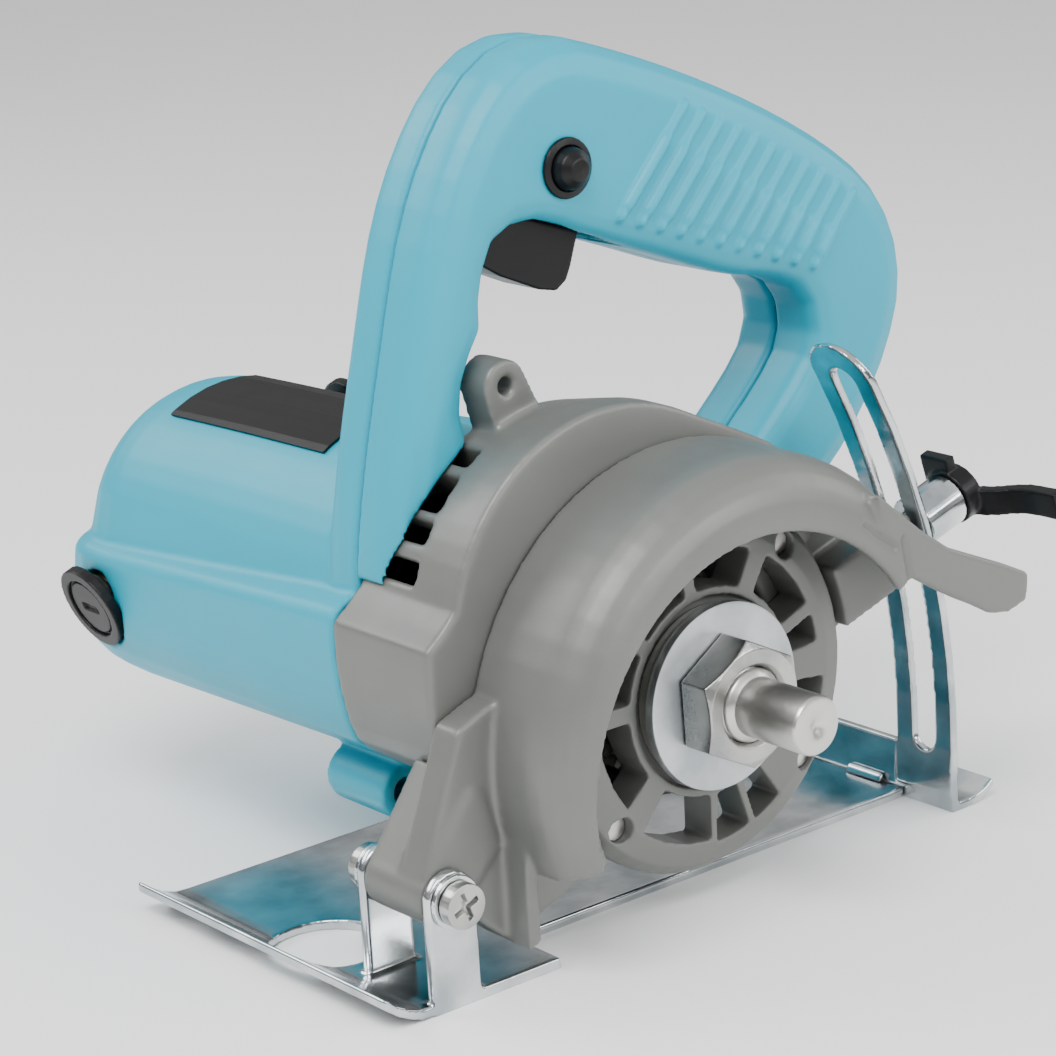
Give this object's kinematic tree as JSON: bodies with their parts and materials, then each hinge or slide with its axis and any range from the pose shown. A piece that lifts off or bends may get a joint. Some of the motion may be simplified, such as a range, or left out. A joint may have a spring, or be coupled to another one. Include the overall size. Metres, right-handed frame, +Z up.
{
  "type": "hand-held tile and stone cutter",
  "caption": "Corded hand-held tile and stone cutter without its blade: loop-handled motor body hinged on a flat sole plate with a slotted depth strap and clamp.",
  "frame": {"origin": "on the underside of the sole plate, straight below the spindle axis in the raised rest pose, on the handle's parting plane", "axes": "+X along the cut from the hinge at the front to the depth strap at the rear, +Y along the spindle and motor axes from the blade side to the motor side, +Z up"},
  "size_m": [0.2004, 0.2025, 0.2001],
  "materials": {
    "turquoise_plastic": "satin moulded plastic",
    "cast_grey": "satin painted die casting",
    "zinc_plate": "bright zinc plating",
    "machined_steel": "machined steel",
    "black_plastic": "satin black plastic",
    "brass": "plain brass",
    "copper": "copper bars",
    "carbon": "pressed carbon",
    "label": "printed black film"
  },
  "bodies": {
    "base": {"sole_plate": "zinc_plate", "depth_bracket": "zinc_plate", "weld_bead_1": "zinc_plate", "weld_bead_2": "zinc_plate", "weld_bead_3": "zinc_plate"},
    "tool_body": {"motor_housing": "turquoise_plastic", "handle_cover": "turquoise_plastic", "blade_guard": "cast_grey", "bearing_box": "cast_grey", "gear_housing": "cast_grey", "pivot_screw_near": "zinc_plate", "pivot_screw_near_washer": "zinc_plate", "pivot_screw_far": "zinc_plate", "pivot_screw_far_washer": "zinc_plate", "clamp_stud": "zinc_plate", "clamp_collar": "zinc_plate", "bearing_box_screw_1": "machined_steel", "bearing_box_screw_2": "machined_steel", "bearing_box_screw_3": "machined_steel", "bearing_box_screw_4": "machined_steel", "guard_screw_1": "machined_steel", "guard_screw_2": "machined_steel", "guard_screw_3": "machined_steel", "spindle_bearing_front": "machined_steel", "armature_bearing_front": "machined_steel", "armature_bearing_rear": "machined_steel", "stator_core": "machined_steel", "handle_screw_1": "machined_steel", "handle_screw_2": "machined_steel", "handle_screw_3": "machined_steel", "switch_body": "black_plastic", "lock_bezel": "black_plastic", "cord_inlet": "black_plastic", "brush_cap_front": "black_plastic", "brush_cap_rear": "black_plastic", "spindle_bush_rear": "brass", "brush_holder_front": "brass", "brush_holder_rear": "brass", "carbon_brush_front": "carbon", "carbon_brush_rear": "carbon", "rating_label": "label"},
    "spindle": {"spindle_shaft": "machined_steel", "spindle_nut": "zinc_plate", "outer_flange": "zinc_plate", "inner_flange": "machined_steel", "spindle_gear": "machined_steel"},
    "armature": {"armature_shaft": "machined_steel", "armature_core": "machined_steel", "commutator": "copper", "cooling_fan": "black_plastic"},
    "trigger": {"trigger": "black_plastic"},
    "lock_button": {"lock_button": "black_plastic"},
    "clamp_lever": {"clamp_lever": "black_plastic"}
  },
  "joints": [
    {"name": "depth_tilt", "type": "hinge", "parent": "base", "child": "tool_body", "pos_m": [-0.0795, 0, 0.0253], "axis": [0, 1, 0], "range_deg": [-12, 15]},
    {"name": "armature_spin", "type": "hinge", "parent": "tool_body", "child": "armature", "pos_m": [-0.02758, 0, 0.06994], "axis": [0, 1, 0], "continuous": true},
    {"name": "spindle_spin", "type": "hinge", "parent": "tool_body", "child": "spindle", "pos_m": [0, 0, 0.05182], "axis": [0, 1, 0], "continuous": true},
    {"name": "trigger_squeeze", "type": "hinge", "parent": "tool_body", "child": "trigger", "pos_m": [-0.02569, 0, 0.16202], "axis": [0, 1, 0], "range_deg": [-6, 0], "stiffness_Nm_per_rad": 0.6, "springref_deg": 2.86},
    {"name": "lock_press", "type": "slide", "parent": "tool_body", "child": "lock_button", "axis": [0, 1, 0], "range_m": [0, 0.003], "stiffness_N_per_m": 300, "springref_m": -0.001},
    {"name": "clamp_turn", "type": "hinge", "parent": "tool_body", "child": "clamp_lever", "pos_m": [0.08281, -0.038, 0.07585], "axis": [0.9548, 0, 0.2974], "range_deg": [-30, 60]}
  ],
  "couplings": [
    {"joint": "spindle_spin", "follows": "armature_spin", "ratio": -0.41935}
  ]
}
